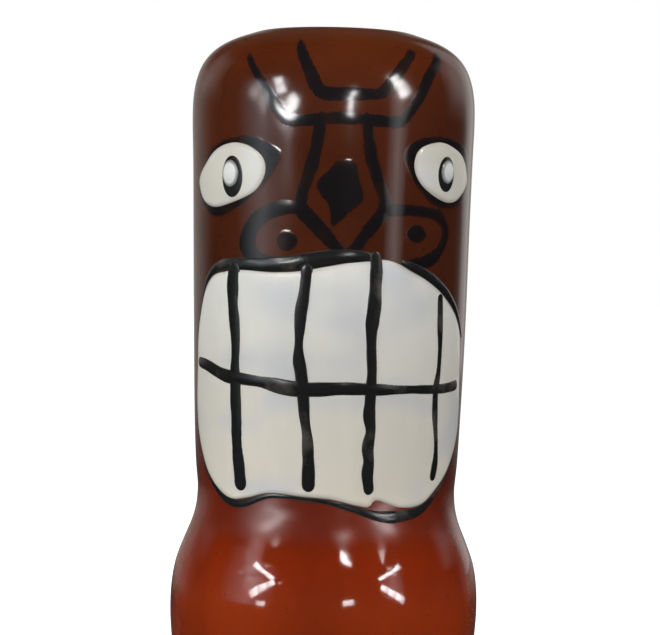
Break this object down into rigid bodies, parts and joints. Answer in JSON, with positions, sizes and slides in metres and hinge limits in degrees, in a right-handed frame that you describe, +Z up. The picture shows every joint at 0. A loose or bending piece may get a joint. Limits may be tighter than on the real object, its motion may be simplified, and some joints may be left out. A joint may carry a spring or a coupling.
{
  "type": "tiki mug",
  "caption": "Tall brown-glazed ceramic mug with a rounded head, a waist and a round belly, hand-painted with a grimacing face: wide white teeth, round eyes, black nose and brow lines.",
  "frame": {"origin": "middle of the foot ring's underside, where the mug stands", "axes": "+Z up along the mug's axis, the painted face looks along -Y, +X to the right of someone facing it"},
  "size_m": [0.0782, 0.0782, 0.18],
  "materials": {
    "brown_glaze": "high gloss",
    "white_enamel": "gloss",
    "black_glaze": "gloss"
  },
  "bodies": {
    "root": {"mug_body": "brown_glaze", "teeth_enamel": "white_enamel", "left_eye_white": "white_enamel", "right_eye_white": "white_enamel", "left_pupil": "white_enamel", "right_pupil": "white_enamel", "bite_line": "black_glaze", "upper_tooth_line_1": "black_glaze", "upper_tooth_line_2": "black_glaze", "upper_tooth_line_3": "black_glaze", "upper_tooth_line_4": "black_glaze", "lower_tooth_line_1": "black_glaze", "lower_tooth_line_2": "black_glaze", "lower_tooth_line_3": "black_glaze", "lower_tooth_line_4": "black_glaze", "upper_lip_line": "black_glaze", "upper_lip_corner": "black_glaze", "lower_lip_line": "black_glaze", "inner_brow_line": "black_glaze", "outer_brow_line": "black_glaze", "left_nose_line": "black_glaze", "right_nose_line": "black_glaze", "left_nostril_ring": "black_glaze", "right_nostril_ring": "black_glaze", "nose_diamond": "black_glaze", "left_nostril_dot": "black_glaze", "right_nostril_dot": "black_glaze", "left_eye_outline": "black_glaze", "right_eye_outline": "black_glaze", "left_iris_ring": "black_glaze", "right_iris_ring": "black_glaze"}
  },
  "joints": []
}
